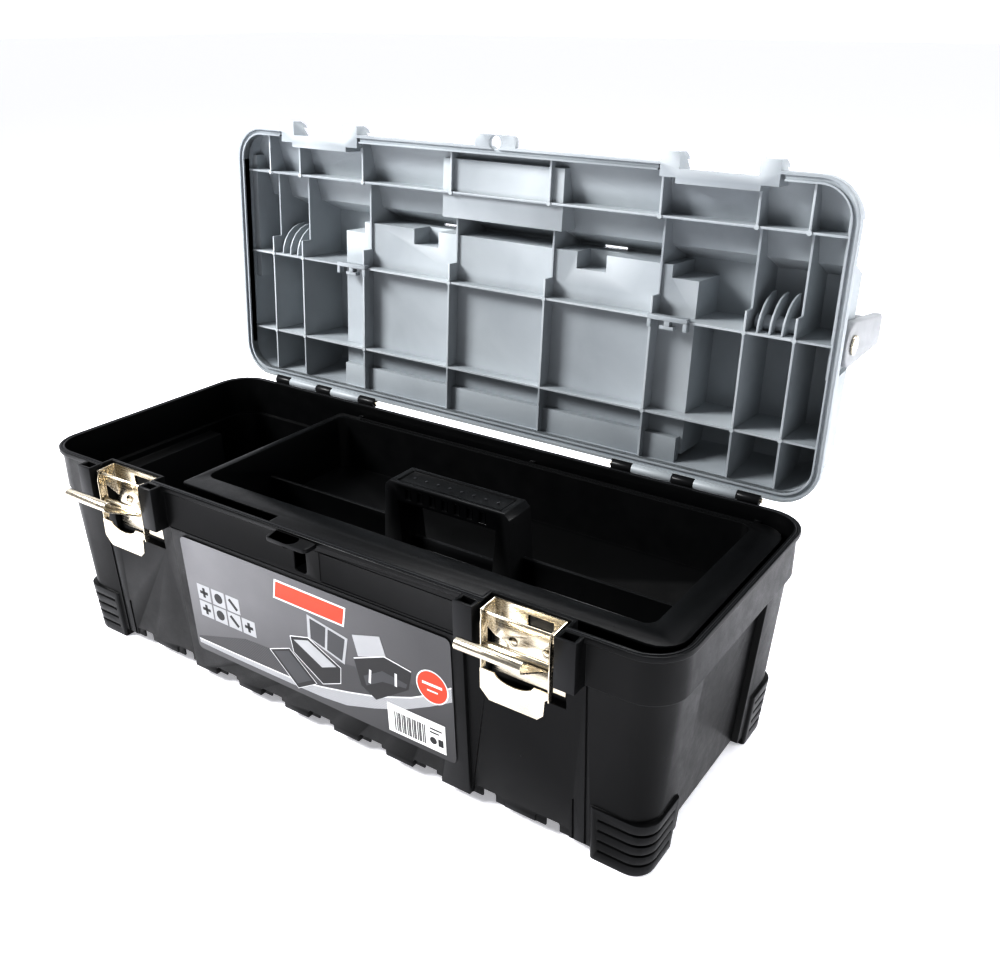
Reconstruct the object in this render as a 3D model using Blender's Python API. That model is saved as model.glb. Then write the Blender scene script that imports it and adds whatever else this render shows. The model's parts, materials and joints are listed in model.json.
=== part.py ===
"""Toolbox with a lift-out tray, a hinged lid with a bail handle, and two draw latches.

The origin is on the floor under the middle of the open box, from the latches' tips to the
raised handle. X runs along the box, Y towards the hinge and Z up. The sizes below are from
the middle of the tub, which the stand moves forward to that origin. Lengths are in metres
and angles in degrees.
"""

import math

import bmesh
import bpy

# Tub
RIM_LENGTH = 0.660
RIM_WIDTH = 0.2562
RIM_TOP = 0.1985
RIM_THICKNESS = 0.006
RIM_LIP = 0.0028
RIM_RADIUS = 0.0335
BAND_HEIGHT = 0.0365
BAND_STEP = 0.004
END_TAPER = 0.012
SIDE_TAPER = 0.0066
TUB_WALL = 0.0028
SKIRT_BOTTOM = 0.008
TUB_FLOOR_UNDERSIDE = 0.016
WALL_RADIUS = 0.017
CORNER_STEPS = 7

FRONT_PANEL_LENGTH = 0.320
FOOT_LENGTH = 0.046
FOOT_HEIGHT = 0.050
FOOT_STEP = 0.0022
NOTCH_PITCH = 0.0585
NOTCH_WIDTH = 0.030
NOTCH_HEIGHT = 0.009
END_PANEL_DEPTH = 0.006
END_PANEL_WIDTH = 0.120
END_PANEL_TOP = 0.150

# Latches
LATCH_X = 0.2125
LATCH_WIDTH = 0.058
POCKET_WIDTH = 0.067
POCKET_DEPTH = 0.0108
POCKET_BOTTOM = 0.128
EAR_WIDTH = 0.017
EAR_REACH = 0.0142
EAR_HEIGHT = 0.041
STEEL = 0.0012
LEVER_PIVOT_DROP = 0.006
LEVER_PIVOT_OUT = 0.003
HOOK_PIVOT_DROP = 0.0265
LEVER_LENGTH = 0.069
HOOK_LENGTH = 0.0455
HOOK_REST_ANGLE = 28.0
PIN_RADIUS = 0.0015
CURL_RADIUS = 0.0045
RIVET_RADIUS = 0.0034
RIVET_SPACING = 0.0284
RIVET_DROP = 0.0345
LEVER_FRONT = -0.0052
LEVER_PLATE_TOP = -0.0435

# Hinge
KNUCKLE_RADIUS = 0.0045
HINGE_PIN_RADIUS = 0.002
KNUCKLE_X = (0.151, 0.2115, 0.272)
KNUCKLE_WIDTH = 0.020
HINGE_OUT = 0.0064
HINGE_RISE = 0.0012
LID_OPEN_ANGLE = 93.9

# Lid
LID_SHORTER = 0.0034
LID_DEEPER = 0.0067
LID_HEIGHT = 0.070
LID_GAP = 0.0005
LID_WALL = 0.0025
LID_RIM_HEIGHT = 0.008
LID_RIM_LIP = 0.003
LEDGE_START = 0.195
LEDGE_LOW = 0.0205
LEDGE_HIGH = 0.0405
CROWN_LEAN = 0.014
RIB = 0.002
RIB_DROP = 0.008
LOW_RIB_DROP = 0.020
RIBS_ACROSS = (0.050, 0.134, 0.2185)
RIBS_ALONG = (0.054, 0.162, 0.2465, 0.289)
PLATFORM_LENGTH = 0.394
PLATFORM_BACK = 0.013
PLATFORM_FRONT = 0.178
PLATFORM_DROP = 0.0225
CATCH_X = 0.093
CATCH_NOTCH = 0.030
COVER_THICKNESS = 0.0022
CATCH_DEPTH = 0.015
CATCH_DROP = 0.025
PLATFORM_CORNER = (0.025, 0.011)
WELL_BACK = 0.006
WELL_END = 0.028
WELL_FRONT = 0.016
COVER_END = 0.022
COVER_BACK = 0.008
COVER_FRONT = 0.010
COVER_CATCH = 0.024
FINGER_LENGTH = 0.127
FINGER_BLOCK_LENGTH = 0.132
FINGER_FROM_LEDGE = 0.006
FINGER_FROM_FRONT = 0.0165
FINGER_DROP = 0.0055
RIB_STEP = 0.018
LATCH_SEAT = (0.005, 0.014)
LATCH_SEAT_BACK = 0.0165
LATCH_LEDGE = 0.003

# Handle
HANDLE_PIVOT_S = 0.1315
HANDLE_PIVOT_DROP = 0.040
HANDLE_REACH = 0.081
ARM_THICKNESS = 0.008
ARM_ROOT = 0.037
ARM_TIP = 0.027
GRIP_SIZE = 0.016
HANDLE_PIN_RADIUS = 0.004
HANDLE_CORNER = 0.004
ARM_RECESS = 0.0015
ARM_POCKET_BACK = 0.005
ARM_POCKET_FRONT = 0.032
ARM_POCKET_DROP = 0.004

# Padlock tabs
TAB_LENGTH = 0.044
TAB_REACH = 0.0135
TAB_THICKNESS = 0.004
PADLOCK_HOLE = 0.013
TAB_RADIUS = 0.004
LID_TAB_BACK = 0.0033

# Label
LABEL_SIDE = 0.011
LABEL_BOTTOM = 0.026
LABEL_TOP = 0.003
LABEL_RADIUS = 0.005
LABEL_THICKNESS = 0.0005

# Tray
TRAY_BAY = 0.160
TRAY_BELOW_RIM = 0.0085
TRAY_DEPTH = 0.0545
TRAY_WALL = 0.002
FLANGE_THICKNESS = 0.0025
TRAY_TAPER = 0.003
DIVIDER_DROP = 0.029
GRIP_LENGTH = 0.138
GRIP_ABOVE_TRAY = 0.015
GRIP_WIDTH = 0.033
GRIP_DEPTH = 0.018
LEG_WIDTH = 0.022
LEG_FLARE = 0.8
HANDLE_CHAMFER = (0.004, 0.009, 0.005)
TRAY_RIGHT_GAP = 0.008
TRAY_BACK_GAP = 0.015
TRAY_FRONT_GAP = 0.0425
FLANGE_LEFT = 0.009
FLANGE_RIGHT = 0.029
FLANGE_LONG = 0.003
WELL_RADIUS = 0.010
FLANGE_SETBACK = 0.0225
FLANGE_REACH = 0.0095
FLANGE_RADII = (0.022, 0.005, 0.005, 0.022)
FLANGE_MIDDLE = 0.223
REST_INSET = (0.02, 0.03)
LOW_DIVIDER = 0.012

GAP = 0.0003
PAST = 0.002

# Worked out from the sizes above
HALF_LENGTH = RIM_LENGTH / 2
LID_LENGTH = RIM_LENGTH - LID_SHORTER
LID_DEPTH = RIM_WIDTH + LID_DEEPER
TRAY_LEFT = -HALF_LENGTH + TRAY_BAY
TRAY_TOP = RIM_TOP - TRAY_BELOW_RIM
GRIP_TOP = TRAY_TOP + GRIP_ABOVE_TRAY
HALF_WIDTH = RIM_WIDTH / 2
BAND_X = HALF_LENGTH - RIM_LIP
BAND_Y = HALF_WIDTH - RIM_LIP
BAND_BOTTOM = RIM_TOP - RIM_THICKNESS - BAND_HEIGHT
WALL_X = BAND_X - BAND_STEP
WALL_Y = BAND_Y - BAND_STEP
TUB_FLOOR = TUB_FLOOR_UNDERSIDE + TUB_WALL
LEDGE_Z = BAND_BOTTOM + TUB_WALL
INNER_X = BAND_X - TUB_WALL
INNER_Y = BAND_Y - TUB_WALL
POCKET_Y = -BAND_Y + POCKET_DEPTH
HINGE_Y = HALF_WIDTH + HINGE_OUT
HINGE_Z = RIM_TOP + HINGE_RISE
LID_SEAT = RIM_TOP + LID_GAP
LID_BACK = LID_DEPTH / 2
LID_X = LID_LENGTH / 2
EAR_X = LATCH_X + (POCKET_WIDTH + EAR_WIDTH) / 2, LATCH_X - (POCKET_WIDTH + EAR_WIDTH) / 2
LEVER_Z = RIM_TOP - LEVER_PIVOT_DROP
LEVER_Y = -HALF_WIDTH - LEVER_PIVOT_OUT
HOOK_Z = LEVER_Z - HOOK_PIVOT_DROP


def rectangle(x0, x1, y0, y1):
    return [(x1, y1), (x0, y1), (x0, y0), (x1, y0)]


def rounded(x0, x1, y0, y1, radii, steps=CORNER_STEPS):
    """A rectangle with round corners: back right, back left, front left, front right."""
    if not isinstance(radii, tuple):
        radii = (radii,) * 4
    points = []
    for corner, radius in enumerate(radii):
        centre_x = x1 - radius if corner in (0, 3) else x0 + radius
        centre_y = y1 - radius if corner in (0, 1) else y0 + radius
        for step in range(steps + 1):
            angle = math.radians(90 * (corner + step / steps))
            points.append((centre_x + radius * math.cos(angle), centre_y + radius * math.sin(angle)))
    return points


def circle(x, y, radius, sides=20):
    turns = [2 * math.pi * side / sides for side in range(sides)]
    return [(x + radius * math.cos(turn), y + radius * math.sin(turn)) for turn in turns]


def at_x(outline, x):
    return [(x, y, z) for y, z in outline]


def at_y(outline, y):
    return [(x, y, z) for x, z in outline]


def at_z(outline, z):
    return [(x, y, z) for x, y in outline]


def loft(mesh, rings):
    """One closed body through rings that have equally many points."""
    loops = [[mesh.verts.new(point) for point in ring] for ring in rings]
    for lower, upper in zip(loops, loops[1:]):
        for here in range(len(lower)):
            there = (here + 1) % len(lower)
            mesh.faces.new((lower[here], lower[there], upper[there], upper[here]))
    mesh.faces.new(reversed(loops[0]))
    mesh.faces.new(loops[-1])


def block(mesh, x, y, z):
    """A box from its three (low, high) pairs."""
    outline = rectangle(x[0], x[1], y[0], y[1])
    loft(mesh, [at_z(outline, z[0]), at_z(outline, z[1])])


def rod(mesh, x, y, z, radius, sides=20):
    """A cylinder along X."""
    outline = circle(y, z, radius, sides)
    loft(mesh, [at_x(outline, x[0]), at_x(outline, x[1])])


def around(centre, size):
    return centre - size / 2, centre + size / 2


def both_sides(pair, side):
    """A (low, high) pair on the right, or its mirror on the left."""
    return pair if side > 0 else (-pair[1], -pair[0])


def material(name, colour, roughness, metallic=0.0, alpha=1.0):
    made = bpy.data.materials.new(name)
    made.use_nodes = True
    shader = made.node_tree.nodes["Principled BSDF"]
    shader.inputs["Base Color"].default_value = (*colour, 1.0)
    shader.inputs["Roughness"].default_value = roughness
    shader.inputs["Metallic"].default_value = metallic
    shader.inputs["Alpha"].default_value = alpha
    made.diffuse_color = (*colour, alpha)
    return made


def place(name, build, parent=None, finish=None, lid_space=False):
    """The object that build draws. In lid space, a point is (x, distance from the lid's
    hinge edge, distance above its rim), which turns into the lid's own axes here."""
    mesh = bmesh.new()
    build(mesh)
    if lid_space:
        for vertex in mesh.verts:
            x, s, d = vertex.co
            vertex.co = (x, LID_BACK - s - HINGE_Y, d + LID_SEAT - HINGE_Z)
    bmesh.ops.recalc_face_normals(mesh, faces=mesh.faces)
    data = bpy.data.meshes.new(name)
    mesh.to_mesh(data)
    mesh.free()
    if finish:
        data.materials.append(finish)
    made = bpy.data.objects.new(name, data)
    bpy.context.scene.collection.objects.link(made)
    made.parent = parent or bpy.data.objects.get("stand")
    return made


def carve(target, operation, tool):
    """Joins the tool to the target or cuts it out; its own shapes may overlap."""
    cut = target.modifiers.new(tool.name, "BOOLEAN")
    cut.operation = operation
    cut.solver = "EXACT"
    cut.use_self = True
    cut.object = tool
    tool.hide_render = True
    tool.display_type = "WIRE"


def smooth(target):
    target.data.shade_smooth()
    target.data.set_sharp_from_angle(angle=math.radians(30))


def axis(name, parent, location, degrees=0.0):
    """An empty on a joint's axis, which runs along X."""
    holder = parent or bpy.data.objects.get("stand")
    made = bpy.data.objects.new(name, None)
    bpy.context.scene.collection.objects.link(made)
    made.parent = holder
    made.location = location
    made.rotation_euler.x = math.radians(degrees)
    return made


def middle_of_depth():
    """Half way from the latch hooks' tips to the end of the raised handle."""
    front = LEVER_Y - HOOK_LENGTH * math.cos(math.radians(HOOK_REST_ANGLE))
    rise = HANDLE_PIVOT_DROP + HANDLE_REACH + LID_SEAT - HINGE_Z
    along = HANDLE_PIVOT_S - LID_BACK + HINGE_Y
    turn = math.radians(LID_OPEN_ANGLE)
    back = HINGE_Y + rise * math.sin(turn) - along * math.cos(turn)
    return (front + back) / 2


def draw_tub_outside(mesh):
    levels = (
        (SKIRT_BOTTOM, WALL_X - END_TAPER, WALL_Y - SIDE_TAPER, WALL_RADIUS),
        (BAND_BOTTOM, WALL_X, WALL_Y, RIM_RADIUS - RIM_LIP - BAND_STEP),
        (BAND_BOTTOM + BAND_STEP / 2, BAND_X, BAND_Y, RIM_RADIUS - RIM_LIP),
        (RIM_TOP - RIM_THICKNESS, BAND_X, BAND_Y, RIM_RADIUS - RIM_LIP),
        (RIM_TOP - RIM_THICKNESS + RIM_LIP / 2, HALF_LENGTH, HALF_WIDTH, RIM_RADIUS),
        (RIM_TOP, HALF_LENGTH, HALF_WIDTH, RIM_RADIUS),
    )
    loft(mesh, [at_z(rounded(-x, x, -y, y, radius), z) for z, x, y, radius in levels])


def draw_tub_additions(mesh):
    """The front panel, feet, latch ears, hinge knuckles and padlock tab."""
    half = FRONT_PANEL_LENGTH / 2
    panel_base = -WALL_Y + SIDE_TAPER - BAND_STEP
    profile = [(-WALL_Y + 2 * SIDE_TAPER, SKIRT_BOTTOM), (panel_base, SKIRT_BOTTOM),
               (-BAND_Y, BAND_BOTTOM + BAND_STEP), (-WALL_Y + 2 * SIDE_TAPER, BAND_BOTTOM + BAND_STEP)]
    loft(mesh, [at_x(profile, -half), at_x(profile, half)])
    foot_x = WALL_X - END_TAPER + FOOT_STEP
    foot_y = WALL_Y - SIDE_TAPER + FOOT_STEP
    lean = FOOT_HEIGHT / (BAND_BOTTOM - SKIRT_BOTTOM)
    for side_x in (-1, 1):
        for side_y in (-1, 1):
            rings = []
            for z, grow in ((0, 0), (FOOT_HEIGHT, lean)):
                x = both_sides((foot_x - FOOT_LENGTH, foot_x + END_TAPER * grow), side_x)
                y = both_sides((foot_y - FOOT_LENGTH, foot_y + SIDE_TAPER * grow), side_y)
                radii = [0.003] * 4
                radii[{(1, 1): 0, (-1, 1): 1, (-1, -1): 2, (1, -1): 3}[(side_x, side_y)]] = WALL_RADIUS
                rings.append(at_z(rounded(*x, *y, tuple(radii)), z))
            loft(mesh, rings)
        for ear in EAR_X:
            x = both_sides(around(ear, EAR_WIDTH), side_x)
            block(mesh, x, (-BAND_Y - EAR_REACH, POCKET_Y + TUB_WALL), (RIM_TOP - EAR_HEIGHT, RIM_TOP))
        for knuckle in KNUCKLE_X:
            x = both_sides(around(knuckle, KNUCKLE_WIDTH), side_x)
            rod(mesh, x, HINGE_Y, HINGE_Z, KNUCKLE_RADIUS)
            web_top = RIM_TOP - RIM_THICKNESS / 6
            block(mesh, x, (HALF_WIDTH - PAST, HINGE_Y), (HINGE_Z - KNUCKLE_RADIUS - PAST, web_top))
    tab = rounded(*around(0, TAB_LENGTH), -HALF_WIDTH - TAB_REACH, -HALF_WIDTH + PAST, TAB_RADIUS, 3)
    loft(mesh, [at_z(tab, RIM_TOP - TAB_THICKNESS - PAST), at_z(tab, RIM_TOP - PAST)])


def draw_tub_inside(mesh):
    wall_x, wall_y = WALL_X - TUB_WALL, WALL_Y - TUB_WALL
    rise = (TUB_FLOOR - SKIRT_BOTTOM) / (BAND_BOTTOM - SKIRT_BOTTOM)
    floor_x = wall_x - END_TAPER * (1 - rise)
    floor_y = wall_y - SIDE_TAPER * (1 - rise)
    radius = RIM_RADIUS - RIM_LIP - TUB_WALL
    levels = (
        (TUB_FLOOR, floor_x, floor_y, WALL_RADIUS - TUB_WALL),
        (LEDGE_Z, wall_x, wall_y, radius - BAND_STEP),
        (LEDGE_Z + PAST / 4, INNER_X, INNER_Y, radius),
        (RIM_TOP + PAST, INNER_X, INNER_Y, radius),
    )
    loft(mesh, [at_z(rounded(-x, x, -y, y, corner), z) for z, x, y, corner in levels])


def draw_tub_backing(mesh):
    """What stays inside the tub: pocket and end-panel backs and the tray's rests."""
    for side in (-1, 1):
        pocket = both_sides(around(LATCH_X, POCKET_WIDTH + 2 * TUB_WALL), side)
        block(mesh, pocket, (-HALF_WIDTH, POCKET_Y + TUB_WALL), (POCKET_BOTTOM - TUB_WALL, RIM_TOP + 2 * PAST))
        depth = END_TAPER + END_PANEL_DEPTH + TUB_WALL
        panel = both_sides((WALL_X - depth, HALF_LENGTH), side)
        block(mesh, panel, around(0, END_PANEL_WIDTH + 2 * TUB_WALL), (0, END_PANEL_TOP + TUB_WALL))
    rest_top = TRAY_TOP - FLANGE_THICKNESS - GAP
    for x in rest_places():
        block(mesh, around(x, 2 * TUB_WALL), (tray_back() + 2 * GAP, HALF_WIDTH), (LEDGE_Z, rest_top))
    for x in (tray_centre() - FRONT_PANEL_LENGTH / 4, tray_centre() + FRONT_PANEL_LENGTH / 4):
        block(mesh, around(x, 2 * TUB_WALL), (-HALF_WIDTH, tray_front() - 2 * GAP), (LEDGE_Z, rest_top))


def draw_tub_cuts(mesh):
    """Latch pockets, ear hollows, end panels, the underside and its notches, and holes."""
    low = SKIRT_BOTTOM - PAST
    inset = FOOT_LENGTH + FOOT_STEP
    end = WALL_X - END_TAPER
    side_wall = WALL_Y - SIDE_TAPER
    under = TUB_FLOOR_UNDERSIDE
    block(mesh, (-end + inset, end - inset), (-side_wall + TUB_WALL, side_wall - TUB_WALL), (low, under))
    block(mesh, (-end + TUB_WALL + END_PANEL_DEPTH, end - TUB_WALL - END_PANEL_DEPTH),
          (-side_wall + inset, side_wall - inset), (low, under))
    for side in (-1, 1):
        pocket = both_sides(around(LATCH_X, POCKET_WIDTH), side)
        block(mesh, pocket, (-HALF_WIDTH - EAR_REACH - PAST, POCKET_Y), (POCKET_BOTTOM, RIM_TOP + PAST))
        for ear in EAR_X:
            hollow = both_sides(around(ear, EAR_WIDTH - 2 * TUB_WALL), side)
            block(mesh, hollow, (-BAND_Y - EAR_REACH + TUB_WALL, -HALF_WIDTH - TUB_WALL / 2),
                  (RIM_TOP - EAR_HEIGHT + TUB_WALL, RIM_TOP + PAST))
        inner = both_sides((WALL_X - END_TAPER - END_PANEL_DEPTH, HALF_LENGTH + PAST), side)
        outer = both_sides((WALL_X - END_PANEL_DEPTH, HALF_LENGTH + PAST), side)
        y = around(0, END_PANEL_WIDTH)
        loft(mesh, [at_z(rectangle(*inner, *y), low), at_z(rectangle(*outer, *y), END_PANEL_TOP)])
    count = int((HALF_LENGTH - FOOT_LENGTH - NOTCH_WIDTH) / NOTCH_PITCH)
    for place_in_row in range(-count, count + 1):
        x = around(place_in_row * NOTCH_PITCH, NOTCH_WIDTH)
        arch = rounded(*x, low - 2 * PAST, SKIRT_BOTTOM + NOTCH_HEIGHT, 0.004, 3)
        for y in ((-HALF_WIDTH, -side_wall + TUB_WALL + PAST), (side_wall - TUB_WALL - PAST, HALF_WIDTH)):
            shallow = (y[0], -side_wall + TUB_WALL / 4) if y[0] < 0 else (side_wall - TUB_WALL / 4, y[1])
            loft(mesh, [at_y(arch, shallow[0]), at_y(arch, shallow[1])])
            slot = rounded(*around(place_in_row * NOTCH_PITCH, NOTCH_WIDTH / 2.5), low - 2 * PAST, under, 0.002, 2)
            loft(mesh, [at_y(slot, y[0]), at_y(slot, y[1])])
    hole = circle(0, -HALF_WIDTH - TAB_REACH / 2, PADLOCK_HOLE / 2)
    loft(mesh, [at_z(hole, RIM_TOP - 3 * TAB_THICKNESS), at_z(hole, RIM_TOP + PAST)])
    for pin_side in (-1, 1):
        x = both_sides((KNUCKLE_X[0] - KNUCKLE_WIDTH, KNUCKLE_X[-1] + KNUCKLE_WIDTH), pin_side)
        rod(mesh, x, HINGE_Y, HINGE_Z, HINGE_PIN_RADIUS + GAP)


def make_tub(plastic):
    tub = place("tub_shell", draw_tub_outside, finish=plastic)
    carve(tub, "UNION", place("tub_additions", draw_tub_additions))
    inside = place("tub_inside", draw_tub_inside)
    carve(inside, "DIFFERENCE", place("tub_backing", draw_tub_backing))
    carve(tub, "DIFFERENCE", inside)
    carve(tub, "DIFFERENCE", place("tub_cuts", draw_tub_cuts))


def make_label(paper):
    """The printed card on the front panel, and the small code sticker on it."""
    half = FRONT_PANEL_LENGTH / 2 - LABEL_SIDE
    bottom, top = SKIRT_BOTTOM + LABEL_BOTTOM, BAND_BOTTOM - LABEL_TOP
    base = -WALL_Y + SIDE_TAPER - BAND_STEP
    slope = (base + BAND_Y) / (BAND_BOTTOM + BAND_STEP - SKIRT_BOTTOM)

    def draw(mesh):
        outline = rounded(-half, half, bottom, top, LABEL_RADIUS, 3)
        for_y = [(x, base - GAP - slope * (z - SKIRT_BOTTOM), z) for x, z in outline]
        loft(mesh, [for_y, [(x, y - LABEL_THICKNESS, z) for x, y, z in for_y]])

    place("front_label", draw, finish=paper)


def tray_right():
    return INNER_X - TRAY_RIGHT_GAP


def tray_back():
    return INNER_Y - TRAY_BACK_GAP


def tray_front():
    return -(INNER_Y - TRAY_FRONT_GAP)


def tray_centre():
    """The middle of the tray's well, where its handle stands."""
    return (TRAY_LEFT + FLANGE_LEFT + tray_right() - FLANGE_RIGHT) / 2


def rest_places():
    return (TRAY_LEFT + REST_INSET[0], tray_centre(), tray_right() - REST_INSET[1])


def tray_well(grow, lift):
    """The well's outline, grown by a wall and by the height above its floor."""
    spread = grow + TRAY_TAPER * lift
    return rounded(TRAY_LEFT + FLANGE_LEFT - spread, tray_right() - FLANGE_RIGHT + spread,
                   tray_front() + FLANGE_LONG - spread, tray_back() - FLANGE_LONG + spread,
                   WELL_RADIUS, 4)


def draw_tray(mesh):
    bottom = TRAY_TOP - TRAY_DEPTH
    loft(mesh, [at_z(tray_well(0, 0), bottom), at_z(tray_well(0, 1), TRAY_TOP)])


def draw_tray_flange(mesh):
    """The flange is cut back at the front beside the latch pockets."""
    z = (TRAY_TOP - FLANGE_THICKNESS, TRAY_TOP)
    setback, reach = -INNER_Y + FLANGE_SETBACK, -INNER_Y + FLANGE_REACH
    outline = rounded(TRAY_LEFT, tray_right(), setback, tray_back() + 2 * FLANGE_LONG, FLANGE_RADII, 5)
    loft(mesh, [at_z(outline, z[0]), at_z(outline, z[1])])
    middle = rounded(*around(tray_centre(), FLANGE_MIDDLE), reach, setback + 0.02, FLANGE_LONG, 2)
    loft(mesh, [at_z(middle, z[0]), at_z(middle, z[1])])
    lip = (TRAY_TOP - 0.008, TRAY_TOP - FLANGE_THICKNESS / 2)
    block(mesh, (TRAY_LEFT, TRAY_LEFT + TRAY_WALL), (setback + 2 * FLANGE_LONG, tray_back()), lip)


def draw_tray_inside(mesh):
    bottom = TRAY_TOP - TRAY_DEPTH + TRAY_WALL
    loft(mesh, [at_z(tray_well(-TRAY_WALL, 0), bottom), at_z(tray_well(-TRAY_WALL, 1), TRAY_TOP + PAST)])


def draw_divider(mesh):
    """A wall along the tray on either side of the handle, lower between its legs."""
    bottom = TRAY_TOP - TRAY_DEPTH + TRAY_WALL / 2
    left, right = around(tray_centre(), GRIP_LENGTH + 2 * GAP)
    y = around(0, 2 * TRAY_WALL)
    block(mesh, (TRAY_LEFT, left), y, (bottom, TRAY_TOP - DIVIDER_DROP))
    block(mesh, (right, tray_right()), y, (bottom, TRAY_TOP - DIVIDER_DROP))
    block(mesh, (left + LEG_WIDTH + 2 * GAP, right - LEG_WIDTH - 2 * GAP), y, (bottom, bottom + LOW_DIVIDER))


def make_tray(plastic, body):
    tray = place("tray_shell", draw_tray, parent=body, finish=plastic)
    carve(tray, "UNION", place("tray_flange", draw_tray_flange, parent=body))
    inside = place("tray_inside", draw_tray_inside, parent=body)
    carve(inside, "DIFFERENCE", place("tray_divider", draw_divider, parent=body))
    carve(tray, "DIFFERENCE", inside)

    def draw_handle(mesh):
        foot = TRAY_TOP - TRAY_DEPTH + TRAY_WALL + GAP
        half = GRIP_LENGTH / 2
        grip_bottom = GRIP_TOP - GRIP_DEPTH
        side, flat, drop = HANDLE_CHAMFER
        arch = [(-half, foot), (-half + LEG_WIDTH, foot), (-half + LEG_WIDTH * LEG_FLARE, grip_bottom),
                (half - LEG_WIDTH * LEG_FLARE, grip_bottom), (half - LEG_WIDTH, foot), (half, foot),
                (half - side, GRIP_TOP - drop), (half - flat, GRIP_TOP),
                (-half + flat, GRIP_TOP), (-half + side, GRIP_TOP - drop)]
        shifted = [(x + tray_centre(), z) for x, z in arch]
        y = around(0, GRIP_WIDTH)
        loft(mesh, [at_y(shifted, y[0]), at_y(shifted, y[1])])

    place("tray_handle", draw_handle, parent=body, finish=plastic)


def lid_levels(inset):
    """(height above the lid's rim, half length, back, front, corner radius)."""
    lip = LID_RIM_LIP
    low = LID_RIM_HEIGHT
    front = LID_DEPTH
    top = LID_HEIGHT
    return [(d, LID_X - x - inset, back + inset, at - inset, radius - inset) for d, x, back, at, radius in (
        (0, 0, 0, front, RIM_RADIUS),
        (low, 0, 0, front, RIM_RADIUS),
        (low + lip / 2, lip, lip, front - lip, RIM_RADIUS - lip),
        (top * 0.75, lip + 0.0035, lip + 0.005, front - lip - 0.002, RIM_RADIUS - lip),
        (top * 0.93, lip + 0.007, lip + 0.010, front - lip - 0.006, RIM_RADIUS - lip),
        (top, lip + 0.013, lip + 0.016, front - lip - 0.012, RIM_RADIUS - lip),
    )]


def draw_lid_outside(mesh):
    loft(mesh, [at_z(rounded(-x, x, back, front, radius), d) for d, x, back, front, radius in lid_levels(0)])


def ledge_profile(inset):
    """The room in front of the lid's crown, in which the handle folds down."""
    back_low = LEDGE_START + inset
    wall_top = LID_HEIGHT + PAST
    return [(LID_DEPTH + PAST, wall_top), (LEDGE_START - CROWN_LEAN + inset, wall_top),
            (back_low, LEDGE_HIGH - inset), (LID_DEPTH - 0.005, LEDGE_LOW - inset),
            (LID_DEPTH + PAST, LEDGE_LOW - inset - 0.006)]


def draw_lid_inside(mesh):
    levels = lid_levels(LID_WALL)
    levels[0] = (-PAST, *levels[0][1:])
    levels[-1] = (LID_HEIGHT - LID_WALL, *levels[-1][1:])
    loft(mesh, [at_z(rounded(-x, x, back, front, radius), d) for d, x, back, front, radius in levels])


def draw_lid_kept(mesh):
    """What stays inside the lid: ribs, organiser wells, ledge, finger block and pockets."""
    high = LID_HEIGHT + PAST
    ends = (-LID_X, LID_X)
    for s in RIBS_ACROSS:
        block(mesh, ends, around(s, RIB), (RIB_DROP, high))
    for rib in RIBS_ALONG:
        for side in (-1, 1):
            x = both_sides(around(rib, RIB), side)
            block(mesh, x, (0, RIBS_ACROSS[1] + RIB_STEP), (RIB_DROP, high))
            block(mesh, x, (RIBS_ACROSS[1], RIBS_ACROSS[2]), (LOW_RIB_DROP, high))
            block(mesh, x, (RIBS_ACROSS[2], LID_DEPTH), (RIB_DROP, high))
    profile = ledge_profile(LID_WALL)
    profile[1] = (profile[1][0] - 2 * LID_WALL, high)
    profile[2] = (profile[2][0] - 2 * LID_WALL, LEDGE_HIGH - LID_WALL)
    loft(mesh, [at_x(profile, -LID_X), at_x(profile, LID_X)])
    half = PLATFORM_LENGTH / 2
    step, back = PLATFORM_CORNER
    block(mesh, (-half + step, half - step), (PLATFORM_BACK, PLATFORM_FRONT), (PLATFORM_DROP, high))
    block(mesh, (-half, half), (PLATFORM_BACK, PLATFORM_FRONT - back), (PLATFORM_DROP, high))
    block(mesh, around(0, FINGER_BLOCK_LENGTH), (LEDGE_START, LID_DEPTH - FINGER_FROM_FRONT + LID_WALL),
          (LEDGE_LOW - FINGER_DROP - LID_WALL, high))
    for side in (-1, 1):
        pocket = both_sides((arm_inner() - LID_WALL - GAP, LID_X), side)
        block(mesh, pocket, arm_pocket(LID_WALL), (arm_pocket_low() - LID_WALL, high))
        latch = both_sides(around(LATCH_X, POCKET_WIDTH + 2 * LID_WALL), side)
        block(mesh, latch, (LID_DEPTH - LATCH_SEAT_BACK, LID_DEPTH), (0, high))


def draw_catch_notches(mesh):
    for side in (-1, 1):
        block(mesh, both_sides(around(CATCH_X, CATCH_NOTCH), side), (PLATFORM_FRONT - CATCH_DEPTH, PLATFORM_FRONT + PAST),
              (-PAST, PLATFORM_DROP + CATCH_DROP))


def arm_inner():
    """Half the distance between the handle's arms."""
    return LID_X - LID_RIM_LIP - ARM_THICKNESS + ARM_RECESS


def arm_pocket(grow):
    return HANDLE_PIVOT_S - ARM_ROOT / 2 - ARM_POCKET_BACK - grow, LID_DEPTH - ARM_POCKET_FRONT + grow


def arm_pocket_low():
    return HANDLE_PIVOT_DROP - ARM_ROOT / 2 - ARM_POCKET_DROP


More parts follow.
